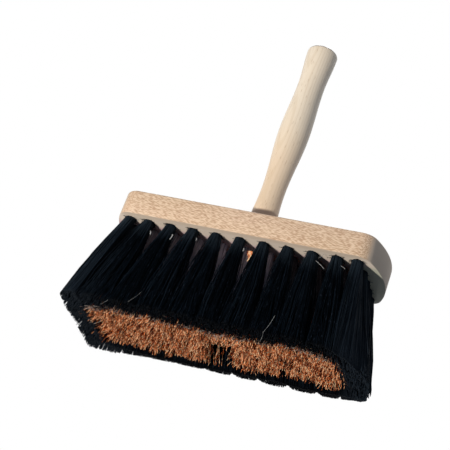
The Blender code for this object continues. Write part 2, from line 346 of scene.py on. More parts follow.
class Nodes:
    """A node tree, with short calls to add and join nodes."""

    def __init__(self, tree):
        self.tree = tree

    def feed(self, socket, value):
        """Joins a socket to an output, or sets its own value."""
        if isinstance(value, bpy.types.NodeSocket):
            self.tree.links.new(value, socket)
        else:
            socket.default_value = value

    def add(self, kind, inputs=None, **settings):
        node = self.tree.nodes.new("ShaderNode" + kind)
        for key, value in settings.items():
            setattr(node, key, value)
        for key, value in (inputs or {}).items():
            self.feed(node.inputs[key], value)
        return node

    def math(self, operation, *values):
        return self.add("Math", dict(enumerate(values)), operation=operation).outputs["Value"]

    def times(self, first, second):
        return self.math("MULTIPLY", first, second)

    def without(self, value, share):
        """One, less a share of the value."""
        return self.math("SUBTRACT", 1.0, self.times(value, share))

    def split(self, vector):
        """Outputs named X, Y and Z of a vector."""
        return self.add("SeparateXYZ", {0: vector}).outputs

    def remap(self, value, low, high, new_low=0.0, new_high=1.0, smooth=True):
        names = ("Value", "From Min", "From Max", "To Min", "To Max")
        inputs = dict(zip(names, (value, low, high, new_low, new_high)))
        kind = "SMOOTHSTEP" if smooth else "LINEAR"
        return self.add("MapRange", inputs, interpolation_type=kind).outputs["Result"]

    def mix(self, share, first, second):
        """Goes from the first colour to the second as the share goes from 0 to 1."""
        return self.add("Mix", {0: share, 6: first, 7: second}, data_type="RGBA").outputs[2]


class Paint(Nodes):
    """A material with one shader, its colour so far, and the patterns that change it."""

    def __init__(self, name, roughness, specular):
        self.material = bpy.data.materials.new(name)
        self.material.use_nodes = True
        super().__init__(self.material.node_tree)
        self.shader = self.tree.nodes["Principled BSDF"]
        self.set("Roughness", roughness)
        self.set("Specular IOR Level", specular)

    def set(self, name, value):
        self.feed(self.shader.inputs[name], value)

    def tint(self, share, colour):
        """Takes the colour so far a share of the way to another one."""
        self.colour = self.mix(share, self.colour, colour)

    def bump(self, height):
        node = self.add("Bump", {"Height": height, "Distance": WOOD_RELIEF})
        self.set("Normal", node.outputs["Normal"])

    def done(self):
        self.set("Base Color", self.colour)
        return self.material

    def mapped(self, kind, **inputs):
        place = self.add("TexCoord").outputs["Object"]
        return self.add("Mapping", {"Vector": place, **inputs}, vector_type=kind).outputs["Vector"]

    def stretched(self, scale, offset=(0.0, 0.0, 0.0)):
        """Object coordinates in metres, times a scale for each axis."""
        return self.mapped("POINT", Scale=scale, Location=offset)

    def slanted(self, scale, turn):
        """Object coordinates turned about Y by an angle in degrees, then scaled for each axis."""
        turned = (0.0, math.radians(turn), 0.0)
        return self.mapped("TEXTURE", Rotation=turned, Scale=[1 / size for size in scale])

    def place(self):
        """Object coordinates in metres, as outputs named X, Y and Z."""
        return self.split(self.stretched((1, 1, 1)))

    def facing(self):
        """The way that the surface faces, as outputs named X, Y and Z."""
        return self.split(self.add("NewGeometry").outputs["Normal"])

    def attribute(self, name):
        return self.add("Attribute", attribute_name=name).outputs["Fac"]

    def noise(self, scale, detail=2.0, roughness=0.5, turn=0.0):
        vector = self.slanted(scale, turn) if turn else self.stretched(scale)
        inputs = {"Vector": vector, "Scale": 1.0, "Detail": detail, "Roughness": roughness}
        return self.add("TexNoise", inputs).outputs["Fac"]

    def cells(self, scale):
        """Distance to the middle of the nearest cell, and a random colour for that cell."""
        node = self.add("TexVoronoi", {"Vector": self.stretched(scale), "Scale": 1.0})
        return node.outputs["Distance"], node.outputs["Color"]

    def rings(self, vector, axis, distortion, detail_scale):
        """Growth rings round an axis, made uneven by the distortion."""
        inputs = {"Vector": vector, "Scale": 1.0, "Distortion": distortion, "Detail Scale": detail_scale}
        node = self.add("TexWave", inputs, wave_type="RINGS", rings_direction=axis)
        return node.outputs["Fac"]

    def ramp(self, value, *stops):
        """Colours between stops, each a place and the sRGB bytes of its colour."""
        node = self.add("ValToRGB", {"Fac": value})
        elements = node.color_ramp.elements
        while len(elements) < len(stops):
            elements.new(1.0)
        for element, (place, *colour) in zip(elements, stops):
            element.position = place
            element.color = rgb(*colour)
        return node.outputs["Color"]


def beech_material():
    """Planed beech with its grain along X: growth rings, fine streaks and short ray flecks."""
    paint = Paint("beech", 0.62, 0.2)
    patches = paint.noise((14, 50, 50), detail=3.0)
    paint.colour = paint.ramp(patches, (0.3, 201, 168, 134), (0.52, 208, 174, 142), (0.72, 213, 179, 150))
    rings = paint.rings(paint.stretched((6, 95, 95), (0.0, 4.0, 9.0)), "X", 3.0, 1.2)
    paint.tint(paint.remap(rings, 0.35, 0.9, 0.0, 0.07), rgb(196, 158, 122))
    streaks = paint.noise((60, 900, 900), detail=3.0, roughness=0.6)
    paint.tint(paint.remap(streaks, 0.5, 0.75, 0.0, 0.15), rgb(196, 158, 124))

    side = paint.facing()
    end = paint.remap(paint.math("ABSOLUTE", side["X"]), 0.55, 0.85)
    below = paint.remap(side["Z"], -0.9, -0.6, 1.0, 0.0)
    above = paint.remap(side["Z"], 0.6, 0.9)
    plain = paint.math("MAXIMUM", end, below)
    flecked = paint.times(paint.without(plain, 0.8), paint.without(above, 0.5))
    wavy = paint.noise((340, 2250, 2250), detail=0.0, turn=9)
    paint.tint(paint.times(paint.remap(wavy, 0.50, 0.42, 0.0, 0.5), flecked), rgb(240, 211, 178))
    fleck = paint.times(paint.remap(wavy, 0.54, 0.62, 0.0, 0.46), flecked)
    paint.tint(fleck, rgb(160, 120, 90))

    paint.tint(paint.times(end, 0.75), rgb(210, 193, 172))
    # Painted light and shade on the underside: darker at the very front edge and lighter further in, and
    # painted shade colours behind the front row, pinker in the middle and greener at the right end
    place = paint.place()
    front_edge = paint.remap(place["Y"], -0.034, -0.028)
    behind_front_row = paint.remap(place["Y"], -0.0235, -0.0185)
    right_end = paint.remap(place["X"], 0.076, 0.088)
    under = paint.mix(front_edge, rgb(199, 181, 160), rgb(236, 220, 200))
    painted_shade = paint.mix(right_end, rgb(214, 186, 186), rgb(208, 210, 186))
    paint.tint(paint.times(below, 0.75), paint.mix(behind_front_row, under, painted_shade))
    paint.set("Roughness", paint.remap(streaks, 0.3, 0.7, 0.55, 0.7))
    paint.bump(paint.math("SUBTRACT", streaks, paint.times(fleck, 0.6)))
    return paint.done()


def turned_material():
    """Turned pale hardwood with its grain along Z, a thin lacquer, painted shade towards the foot, the
    block's painted shadow on the foot, and darker end grain with painted shade where it faces up.
    """
    paint = Paint("turned_wood", 0.42, 0.35)
    patches = paint.noise((45, 45, 9), detail=3.0)
    paint.colour = paint.ramp(patches, (0.3, 240, 215, 184), (0.5, 250, 229, 200), (0.7, 252, 233, 207))
    place = paint.place()
    # Painted shade: the wood darkens towards the foot
    paint.tint(paint.remap(place["Z"], UPPER_FACE, FOOT_SHADE_TOP, 0.7, 0.0), rgb(212, 182, 148))
    rings = paint.rings(paint.stretched((150, 150, 7), (2.1, 4.8, 0.0)), "Z", 2.2, 1.0)
    paint.tint(paint.remap(rings, 0.55, 0.98, 0.0, 0.22), rgb(206, 178, 140))
    streaks = paint.noise((1300, 1300, 45), detail=3.0, roughness=0.6)
    paint.tint(paint.remap(streaks, 0.52, 0.78, 0.0, 0.25), rgb(200, 172, 136))
    distance, kind = paint.cells((1300, 1300, 160))
    pores = paint.times(paint.remap(distance, 0.15, 0.4, 1.0, 0.0), paint.remap(kind, 0.62, 0.75, 0.0, 0.5))
    paint.tint(pores, rgb(182, 150, 114))

    # Painted shadow of the block on the handle's foot, strongest on the front side where that shadow falls
    level = paint.math("SUBTRACT", place["Z"], paint.times(place["X"], FOOT_SHADOW_SLOPE))
    to_front = paint.remap(place["Y"], 0.0, 0.009, 1.0, 0.2)
    paint.tint(paint.times(paint.remap(level, *FOOT_SHADOW_EDGE, 0.58, 0.0), to_front), rgb(122, 88, 76))
    # Painted shade on the upward-facing end, which also stands for darker end grain
    paint.tint(paint.remap(paint.facing()["Z"], 0.05, 0.35, 0.0, 0.85), rgb(112, 94, 84))
    paint.set("Roughness", paint.remap(streaks, 0.3, 0.7, 0.36, 0.5))
    paint.bump(paint.math("SUBTRACT", streaks, pores))
    return paint.done()


def black_material():
    """Stiff black fibre with a dull sheen painted into its colour: each one has its own depth of black, and
    loose ones are pale.
    """
    paint = Paint("black_fibre", 0.5, 0.02)
    shade = paint.attribute("strand")
    along = paint.attribute("along")
    fixed = paint.remap(shade, 0.93, 0.95, 1.0, 0.0)
    paint.colour = paint.ramp(shade, (0.0, 1, 3, 6), (0.5, 3, 8, 13), (0.75, 7, 14, 21),
                              (0.88, 18, 25, 32), (0.94, 29, 35, 43), (0.99, 180, 177, 170))
    # Painted sheen: lighter bluish streaks along the fibres
    painted_light = paint.noise((700, 700, 160))
    paint.tint(paint.remap(painted_light, 0.62, 0.85, 0.0, 0.3), rgb(24, 28, 36))
    # Painted glints: short light dashes
    glints = paint.noise((1500, 1500, 380), detail=1.0)
    paint.tint(paint.remap(glints, 0.63, 0.72, 0.0, 0.55), rgb(44, 50, 60))
    # Painted sheen near the roots, on the tufts' heads
    paint.tint(paint.times(paint.remap(along, 0.04, 0.26, 0.6, 0.0), fixed), rgb(42, 51, 58))
    # Painted shade: the cut ends are darkened
    paint.tint(paint.remap(along, 0.95, 1.0, 0.0, 0.7), rgb(1, 1, 2))
    # Painted sheen, lighter and bluer towards both ends of the block
    across = paint.place()["X"]
    right_end = paint.remap(across, 0.078, 0.1, 0.0, 0.66)
    left_end = paint.remap(across, -0.098, -0.07, 0.36, 0.0)
    paint.tint(paint.times(paint.math("MAXIMUM", right_end, left_end), fixed), rgb(33, 40, 47))
    paint.set("Roughness", paint.remap(painted_light, 0.3, 0.7, 0.38, 0.6))
    return paint.done()


def coco_material():
    """Coarse coco fibre, from straw to dark red-brown, with painted shade near its root that turns to painted
    light towards the middle of the block, and painted light towards the middle and the right end.
    """
    paint = Paint("coco_fibre", 0.7, 0.1)
    strand = paint.attribute("strand")
    along = paint.attribute("along")
    across = paint.place()["X"]
    blotches = paint.noise((1500, 1500, 800))
    shade = strand
    # The blotches vary the shade at random; the two steps along X are painted light, lightening the fibres
    # towards the middle and again towards the right end
    for value, *limits in ((blotches, 0.32, 0.68, -0.42, 0.40), (across, -0.08, 0.0, -0.03, 0.08),
                           (across, 0.045, 0.07, 0.0, 0.05)):
        shade = paint.math("ADD", shade, paint.remap(value, *limits))
    paint.colour = paint.ramp(shade, (0.0, 34, 8, 10), (0.2, 86, 26, 14), (0.42, 166, 68, 26),
                              (0.62, 227, 104, 36), (0.78, 247, 144, 72), (0.92, 255, 212, 164))
    paint.tint(paint.remap(along, 0.96, 1.0, 0.0, 0.2), rgb(236, 170, 116))
    pale = paint.ramp(strand, (0.93, 104, 84, 72), (0.97, 150, 130, 116), (1.0, 214, 196, 180))
    paint.tint(paint.remap(strand, 0.915, 0.925), pale)

    # Painted shade: the fibres darken towards the root, deep among the tuft
    painted_shade = paint.remap(along, 0.55, 0.93, 1.0, 0.0)
    # Painted light at the roots: towards the middle of the block they take a pale colour instead of the dark
    # painted shade
    root_painted_light = paint.times(paint.remap(across, 0.026, 0.036, 1.0, 0.1), paint.remap(along, 0.3, 0.7, 1.0, 0.4))
    root_painted_light = paint.times(root_painted_light, paint.remap(across, -0.05, -0.012, 0.58, 1.0))
    painted_light = paint.mix(strand, rgb(150, 139, 150), rgb(236, 225, 234))
    paint.tint(painted_shade, paint.mix(root_painted_light, rgb(26, 22, 26), painted_light))
    paint.set("Roughness", paint.remap(blotches, 0.3, 0.7, 0.62, 0.8))
    return paint.done()


def floor_material():
    """Pale floor that keeps the object's shadow seen from above, and is clear from below."""
    paint = Paint("floor", 0.9, 0.0)
    paint.colour = grey(FLOOR_GREY)
    paint.set("Emission Color", grey(1.0))
    paint.set("Emission Strength", FLOOR_GLOW)
    camera_ray = paint.add("LightPath").outputs["Is Camera Ray"]
    from_below = paint.add("NewGeometry").outputs["Backfacing"]
    seen = paint.math("MAXIMUM", paint.math("SUBTRACT", camera_ray, from_below), 0.0)
    clear = paint.add("BsdfTransparent").outputs[0]
    blend = paint.add("MixShader", {0: seen, 1: clear, 2: paint.shader.outputs[0]})
    paint.feed(paint.tree.nodes["Material Output"].inputs["Surface"], blend.outputs[0])
    return paint.done()


def mesh_from(name, bm):
    mesh = bpy.data.meshes.new(name)
    bm.to_mesh(mesh)
    bm.free()
    return mesh


def add_object(name, data):
    thing = bpy.data.objects.new(name, data)
    bpy.context.scene.collection.objects.link(thing)
    return thing


def new_piece(name, mesh, material, slot, *nodes):
    """A piece that stands for CAD nodes, riding on the part's one body."""
    thing = add_object(name, mesh)
    mesh.materials.append(material)
    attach(thing, "root")
    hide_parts(*nodes)
    return thing


def add_drum(bm, rings):
    """Skin a stack of equal rings, lowest first, and cap both ends."""
    loops = [[bm.verts.new(point) for point in ring] for ring in rings]
    for low, high in zip(loops, loops[1:]):
        for k in range(len(low)):
            after = (k + 1) % len(low)
            bm.faces.new((low[k], low[after], high[after], high[k]))
    bm.faces.new(reversed(loops[0]))
    bm.faces.new(loops[-1])


def arc(x, y, z, radius, start, end, steps):
    angles = [start + (end - start) * k / steps for k in range(steps + 1)]
    return [(x + radius * math.cos(a), y + radius * math.sin(a), z) for a in angles]


def circle(x, y, z, radius, sides):
    return arc(x, y, z, radius, 0.0, math.tau, sides)[:-1]


def quarter_turn(steps):
    """Sine and cosine at even steps through a quarter turn."""
    angles = [math.pi / 2 * k / steps for k in range(steps + 1)]
    return [(math.sin(a), math.cos(a)) for a in angles]


def block_ring(z, inset):
    """The block's outline: straight sides, bowed ends and a fillet at each corner."""
    bow_x = BLOCK_LENGTH / 2 - END_BOW_RADIUS
    fillet_y = BLOCK_WIDTH / 2 - CORNER_RADIUS
    fillet_x = bow_x + math.sqrt((END_BOW_RADIUS - CORNER_RADIUS) ** 2 - fillet_y ** 2)
    meet = math.atan2(fillet_y, fillet_x - bow_x)
    quarter = math.pi / 2
    fillet = CORNER_RADIUS - inset
    bow = END_BOW_RADIUS - inset
    right = arc(fillet_x, -fillet_y, z, fillet, -quarter, -meet, CORNER_STEPS)
    right += arc(bow_x, 0.0, z, bow, -meet, meet, BOW_STEPS)[1:-1]
    right += arc(fillet_x, fillet_y, z, fillet, meet, quarter, CORNER_STEPS)
    left = [(-x, -y, level) for x, y, level in right]
    return right + left


def hole_places(half_span, end_gap, inner):
    """Places of the holes in a row: one at each end, and the inner ones evenly between."""
    inner_half = half_span - end_gap
    pitch = 2 * inner_half / (inner - 1)
    return [-half_span] + [pitch * k - inner_half for k in range(inner)] + [half_span]


def strips_between(edges):
    """Middle and half width of each strip between two edges."""
    return [((low + high) / 2, (high - low) / 2) for low, high in zip(edges, edges[1:])]


def tip_strips(half_span, inner, unevenness, dice):
    """Strips of the cut face that the tufts' tips spread over."""
    inner_half = half_span - RIM_TIP_BAND
    pitch = 2 * inner_half / inner
    edges = [pitch * k - inner_half for k in range(inner + 1)]
    for k in range(1, (inner + 1) // 2):
        shift = dice.uniform(-unevenness, unevenness) * pitch
        edges[k] -= shift
        edges[inner - k] += shift
    return strips_between([-half_span] + edges + [half_span])


def missing(column, row):
    """No hole is drilled under the handle's tenon, nor just behind it."""
    middle_column = (INNER_COLUMNS + 1) // 2
    middle_row = (INNER_ROWS + 1) // 2
    return column == middle_column and row in (middle_row, middle_row + 1)


def tuft_name(column, row):
    if row == 0:
        return f"rim_tuft_front_{column + 1:02d}"
    if row == LAST_ROW:
        return f"rim_tuft_back_{column + 1:02d}"
    if column == 0:
        return f"rim_tuft_left_{row}"
    if column == LAST_COLUMN:
        return f"rim_tuft_right_{row}"
    return f"core_tuft_row_{row}_{column:02d}"


def tuft_grid():
    """Root place, tip place, tip spread and name of every tuft."""
    side_row = BLOCK_WIDTH / 2 - SIDE_ROW_INSET
    end_column = BLOCK_LENGTH / 2 - END_COLUMN_INSET
    root_x = hole_places(end_column, END_COLUMN_GAP, INNER_COLUMNS)
    root_y = hole_places(side_row, 2 * side_row / (INNER_ROWS + 1), INNER_ROWS)
    tip_y = tip_strips(BLOCK_WIDTH / 2 + SIDE_OVERHANG, INNER_ROWS, 0.0, random)
    tufts = []
    for row in range(LAST_ROW + 1):
        dice = random.Random(abs(2 * row - LAST_ROW))
        tip_x = tip_strips(BLOCK_LENGTH / 2 + END_OVERHANG, INNER_COLUMNS, UNEVEN_TIP_STRIPS, dice)
        if row == LAST_ROW:
            tip_x = strips_between(even_places(BACK_TUFT_EDGES))
        for column in range(LAST_COLUMN + 1):
            if missing(column, row):
                continue
            drift = front_drift(column) if row == 0 else (0.0, 0.0)
            tip, spread = zip(tip_x[column], tip_y[row])
            tufts.append({
                "name": tuft_name(column, row),
                "rim": row in (0, LAST_ROW) or column in (0, LAST_COLUMN),
                "row": row,
                "column": column,
                "root": (root_x[column] + drift[0], root_y[row] + drift[1]),
                "tip": tip,
                "spread": spread,
            })
    return tufts


def along_line(places, pairs):
    """Second values of the pairs at places between their first values."""
    return np.interp(places, *zip(*pairs))


def front_drift(column):
    return [float(along_line(column, pairs)) for pairs in (FRONT_DRIFT_X, FRONT_DRIFT_Y)]


def even_places(edges):
    """Places in the even strips, in metres, of real places in millimetres along the block."""
    even, real = zip(*TIP_X)
    return [float(value) / 1000 for value in np.interp(edges, real, even)]


def spread_tips(tips, rim, dice):
    """Moves tips from the even strips of the part to where the brush's use has spread them."""
    along, across = tips[:, 0] * 1000, tips[:, 1] * 1000
    across, along = round_corners(across, along, *(RIM_AREA if rim else CORE_AREA))
    x = extend(along, TIP_X)
    front, back = along_line(x, FRONT_CORE_EDGE), along_line(x, BACK_CORE_EDGE)
    outline = along_line(x, BACK_OUTLINE)
    y = np.where(across < 0, across * front / -CORE_HALF_WIDTH, across * back / CORE_HALF_WIDTH)
    before = front + (across + CORE_HALF_WIDTH) * (-RIM_HALF_WIDTH - front) / -RIM_BAND
    y = np.where(across < -CORE_HALF_WIDTH, before, y)
    behind = back + (across - CORE_HALF_WIDTH) * (outline - back) / RIM_BAND
    y = np.where(across > CORE_HALF_WIDTH, behind, y)
    x = x - LEFT_BACK_FLARE * np.interp(y, FLARE_Y, (0, 1)) * np.interp(x, FLARE_X, (1, 0))
    if not rim:
        x, y = parted(x, y, dice)
    return np.stack([x, y], 1) / 1000


def parted(x, y, dice):
    """Narrows the gap that the two missing tufts leave to the opening that the brush shows."""
    uneven = dice.normal(0.0, OPENING["uneven"], x.shape)
    stray = dice.random(x.shape) < OPENING["strays"]
    strays = np.where(stray, dice.uniform(0, OPENING["stray_reach"], x.shape), 0)
    left = OPENING["left"][0] + OPENING["left"][1] * y + uneven + strays
    right = OPENING["right"][0] + OPENING["right"][1] * y + uneven - strays
    near = np.clip(1 - (np.abs(x) - MISSING_STRIP) / OPENING["reach"], 0.0, 1.0)
    shift = np.where(x < 0, left + MISSING_STRIP, right - MISSING_STRIP) * near
    beside = (y > MISSING_FRONT) & (np.abs(x) > MISSING_STRIP - OPENING["overlap"])
    before = (y < MISSING_FRONT + OPENING["overlap"]) & (np.abs(x) < MISSING_STRIP)
    share = np.clip((y - OPENING["front"]) / (MISSING_FRONT - OPENING["front"]), 0.0, OPENING["most"])
    back = (OPENING["apex"] - MISSING_FRONT + uneven) * share
    return x + np.where(beside, shift, 0.0), y + np.where(before & ~beside, back, 0.0)


def round_corners(across, along, half_width, half_length, powers):
    """Pulls what is outside an area with rounded corners back to its edge."""
    power = np.array(powers)[2 * (across >= 0) + (along >= 0)]
    shares = np.abs(across) / half_width, np.abs(along) / half_length
    reach = (shares[0] ** power + shares[1] ** power) ** (1 / power)
    shrink = 1 / np.maximum(reach, 1.0)
    return across * shrink, along * shrink


def extend(values, pairs):
    """Straight lines through the pairs, carried on past the first and last of them."""
    old, new = np.array(pairs).T
    result = np.interp(values, old, new)
    result = np.where(values < old[0], new[0] + values - old[0], result)
    return np.where(values > old[-1], new[-1] + values - old[-1], result)


def lean(tuft):
    """Sideways run per metre of drop. Rim holes are drilled aslant, and core holes square."""
    if not tuft["rim"]:
        return (0.0, 0.0)
    return tuple((tip - root) / BRISTLE_LENGTH for root, tip in zip(tuft["root"], tuft["tip"]))


def make_block(tufts, material):
    rings = [(LOWER_FACE + BOTTOM_ROUNDING * (1 - cosine), BOTTOM_ROUNDING * (1 - sine))
             for sine, cosine in quarter_turn(BOTTOM_STEPS)]
    rings += [(UPPER_FACE - TOP_ROUNDING * (1 - sine), TOP_ROUNDING * (1 - cosine))
              for sine, cosine in quarter_turn(TOP_STEPS)]
    bm = bmesh.new()
    add_drum(bm, [block_ring(z, inset) for z, inset in rings])
    block = new_piece("block", mesh_from("block", bm), material, "block_beech", "brush_block")
    cut_away(block, "holes", hole_cutter(tufts))
    cut_away(block, "mortise", mortise_cutter())
    block.data.shade_smooth()
    block.data.set_sharp_from_angle(angle=math.radians(BLOCK_CREASE))


def hole_cutter(tufts):
    bm = bmesh.new()
    for tuft in tufts:
        rings = []
        for z in (LOWER_FACE - CLEARANCE, LOWER_FACE + HOLE_DEPTH):
            x, y = (root + run * (LOWER_FACE - z) for root, run in zip(tuft["root"], lean(tuft)))
            rings.append(circle(x, y, z, HOLE_DIAMETER / 2, HOLE_SIDES))
        add_drum(bm, rings)
    return bm


def mortise_cutter():
    radius = TENON_DIAMETER / 2 + CLEARANCE
    levels = (UPPER_FACE - TENON_LENGTH - CLEARANCE, UPPER_FACE + CLEARANCE)
    bm = bmesh.new()
    add_drum(bm, [circle(0.0, 0.0, z, radius, HOLE_SIDES) for z in levels])
    return bm


def cut_away(thing, name, bm):
    cutter = add_object(name, mesh_from(name, bm))
    modifier = thing.modifiers.new(name, "BOOLEAN")
    modifier.operation = "DIFFERENCE"
    modifier.solver = "EXACT"
    modifier.object = cutter
    bpy.context.view_layer.objects.active = thing
    bpy.ops.object.modifier_apply(modifier=name)
    bpy.data.objects.remove(cutter)


def handle_radius(height):
    """Turned profile: each swelling runs into the next with a level tangent at both."""
    for (low, wide_low), (high, wide_high) in zip(HANDLE_STATIONS, HANDLE_STATIONS[1:]):
        if height <= high:
            share = (1 - math.cos(math.pi * (height - low) / (high - low))) / 2
            return (wide_low + (wide_high - wide_low) * share) / 2
    return HANDLE_STATIONS[-1][1] / 2


def make_handle(material):
    """The turned handle, as a stack of rings at heights from the block's upper face."""
    foot = CLEARANCE
    start = foot + FOOT_CHAMFER
    straight = HANDLE_LENGTH - END_ROUNDING
    stack = [(-TENON_LENGTH, TENON_DIAMETER / 2), (foot, TENON_DIAMETER / 2)]
    stack.append((foot, handle_radius(0.0) - FOOT_CHAMFER))
    for k in range(HANDLE_STEPS + 1):
        height = start + (straight - start) * k / HANDLE_STEPS
        stack.append((height, handle_radius(height)))
    for sine, cosine in quarter_turn(END_STEPS)[1:]:
        radius = handle_radius(straight) - END_ROUNDING * (1 - cosine)
        stack.append((HANDLE_LENGTH - END_ROUNDING * (1 - sine), radius))
    bm = bmesh.new()
    add_drum(bm, [circle(0.0, 0.0, UPPER_FACE + h, radius, HANDLE_SIDES) for h, radius in stack])
    mesh = mesh_from("turned_handle", bm)
    new_piece("turned_handle", mesh, material, "handle_wood", "handle")
    mesh.shade_smooth()
    mesh.set_sharp_from_angle(angle=math.radians(HANDLE_CREASE))


def packed_offsets(count, dice):
    """Places of a tuft's fibres in its round hole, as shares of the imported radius."""
    k = np.arange(count)
    reach = np.sqrt((k + 0.5) / count)
    angle = GOLDEN_ANGLE * k + dice.uniform(0.0, math.tau)
    offsets = np.stack([reach * np.cos(angle), reach * np.sin(angle)], 1)
    return offsets + dice.normal(0.0, UNEVEN_PACKING, (count, 2))


def rounded(offsets, power):
    """The same directions, with the round drawn out to a square with rounded corners."""
    size = np.maximum((np.abs(offsets) ** power).sum(1) ** (1 / power), 1e-6)
    return offsets * (np.hypot(*offsets.T) / size)[:, None]


def gather(offsets, tips, pull, clumps, dice):
    """Draws each fibre's tip towards that of the nearest of a few leading fibres."""
    leaders = dice.choice(len(offsets), clumps, replace=False)
    away = np.hypot(*(offsets[:, None] - offsets[None, leaders]).transpose(2, 0, 1))
    leader = leaders[away.argmin(1)]
    share = pull * dice.uniform(*FOLLOWING, len(tips))[:, None]
    return tips + (tips[leader] - tips) * share, leader


def tip_places(tuft, offsets, style, dice):
    """Where a tuft's fibres end on the cut face, and which leading fibre each one follows."""
    count = len(offsets)
    spots = offsets * np.hypot(*offsets.T)[:, None] ** (style["crowd"] - 1)
    share = rounded(spots, style["round"]) * np.array(style["fill"])
    notch = (share[:, 1] + 1) / 2 * np.abs(share[:, 0]) ** SCALLOP_POWER
    share[:, 1] -= style["scallop"] * notch
    even = np.array(tuft["tip"]) + share * np.array(tuft["spread"])
    even += dice.normal(0.0, style["stray"], (count, 2))
    tips, leader = gather(offsets, even, style["pull"], style["clumps"], dice)
    wild = dice.random(count) < style["wild_share"]
    tips[wild] += dice.normal(0.0, style["wild"], (int(wild.sum()), 2))
    mingled = dice.random(count) < style["mingle"][0]
    tips[mingled, 0] -= np.abs(dice.normal(0.0, style["mingle"][1], int(mingled.sum())))
    return spread_tips(tips, tuft["rim"], dice), leader


def tip_heights(tips, leader, style, dice):
    """Height of each tip: uneven by itself and by its clump, worn at the front, and a few short."""
    count = len(tips)
    heights = np.abs(dice.normal(0.0, style["uneven"], count))
    heights += dice.uniform(0.0, style["step"], count)[leader]
    heights += WORN_RISE * np.clip((WORN_FROM - tips[:, 1]) / WORN_OVER, 0.0, 1.0)
    short = dice.random(count) < style["short_share"]
    heights[short] += dice.uniform(*SHORT_BY, int(short.sum()))
    return heights


def fan_out(tuft, offsets, tips, drops, style, dice):
    """Level place of each fibre at each drop, from its packed root to its tip."""
    fan = (np.sqrt(drops ** 2 + FAN_BEND ** 2) - FAN_BEND) / (math.sqrt(1 + FAN_BEND ** 2) - FAN_BEND)
    fan = fan[None] ** dice.uniform(*style["fan"], (len(tips), 1))
    axis_fan = np.broadcast_to(drops, fan.shape) if tuft["rim"] else fan
    root, middle, packed = np.array(tuft["root"]), tips.mean(0), offsets * PACKED_RADIUS
    axis = root + (middle - root) * axis_fan[..., None]
    return axis + packed[:, None] + (tips - middle - packed)[:, None] * fan[..., None]


def waves(count, drops, style, leader, dice):
    """Small sideways bends, shared in part by the fibres of a clump."""
    total = np.zeros((count, len(drops), 2))
    for turns, share in WAVES:
        phase = dice.uniform(0.0, math.tau, (count, 1, 2))
        size = dice.normal(0.0, style["wave"] * share, (count, 1, 2))
        phase = np.where(dice.random((count, 1, 1)) < SHARED_WAVES, phase[leader], phase)
        size = np.where(dice.random((count, 1, 1)) < SHARED_WAVES, size[leader], size)
        total += size * (np.sin(math.tau * turns * drops[None, :, None] + phase) - np.sin(phase))
    total *= (np.sqrt(drops) * (1 - drops ** 3))[None, :, None]
    kinks = np.where((drops > FRIZZ_FROM) & (drops < 1.0), style["frizz"], 0.0)
    return total + dice.normal(0.0, 1.0, total.shape) * kinks[None, :, None]


def curls(count, drops, style, dice):
    """A turn to one side over each fibre's last stretch."""
    way = dice.normal(0.0, style["curl"], (count, 1, 2))
    start = dice.uniform(*CURL_FROM, (count, 1))
    past = np.maximum(drops[None] - start, 0.0) * BRISTLE_LENGTH
    return way * (past ** 1.5 / math.sqrt(CURL_REACH))[..., None]


def fringe(tuft, offsets, dice):
    """How far the ends of some outer core fibres are bent out over the rim's tips."""
    out = np.zeros((len(offsets), 2))
    for axis, edge in ((1, tuft["row"] == 1), (0, tuft["column"] == 1)):
        if edge:
            chosen = (dice.random(len(offsets)) < FRINGE_SHARE) & (offsets[:, axis] < FRINGE_EDGE)
            out[chosen, axis] -= dice.uniform(*FRINGE_BEND, int(chosen.sum())) * FRINGE_REACH[axis]
            out[chosen, 1 - axis] += dice.normal(0.0, FRINGE_SIDEWAYS, int(chosen.sum()))
    return out


def contrasted(shades):
    """Draws shades apart, from the middle one towards the darkest and the lightest."""
    middle = PLAIN_SHADES / 2
    return middle + middle * np.sign(shades - middle) * np.abs(shades / middle - 1) ** COCO_CONTRAST


def fibre_paths(tuft, count, style, dice):
    """Centre lines of a tuft's fibres, indexed by fibre, ring and axis, and each one's shade."""
    offsets = packed_offsets(count, dice)
    tips, leader = tip_places(tuft, offsets, style, dice)
    tip_z = tip_heights(tips, leader, style, dice)
    drops = np.array(FIBRE_DROPS)
    flat = fan_out(tuft, offsets, tips, drops, style, dice)
    flat = flat + waves(count, drops, style, leader, dice) + curls(count, drops, style, dice)
    shades = dice.random(count) * PLAIN_SHADES
    if not tuft["rim"]:
        shades = contrasted(shades)
        frayed = fringe(tuft, offsets, dice)
        bent = (np.maximum(drops - FRINGE_FROM, 0.0) / (1 - FRINGE_FROM)) ** FRINGE_POWER
        flat = flat + frayed[:, None] * bent[None, :, None]
        loose = np.hypot(*frayed.T) > 0
        tip_z[loose] = dice.uniform(*FRINGE_HEIGHT, int(loose.sum()))
        pale = frayed[:, 1] < -PALE_FROM * FRINGE_REACH[1]
        shades[pale] = dice.uniform(*PALE_SHADES, int(pale.sum()))
    z = LOWER_FACE + (tip_z[:, None] - LOWER_FACE) * drops[None]
    paths = np.concatenate([flat, z[..., None]], 2)
    head = np.array(tuft["root"]) - np.array(lean(tuft)) * ROOT_IN_HOLE + offsets * PACKED_RADIUS
    head = np.concatenate([head, np.full((count, 1), LOWER_FACE + ROOT_IN_HOLE)], 1)
    return np.concatenate([head[:, None], paths], 1), shades


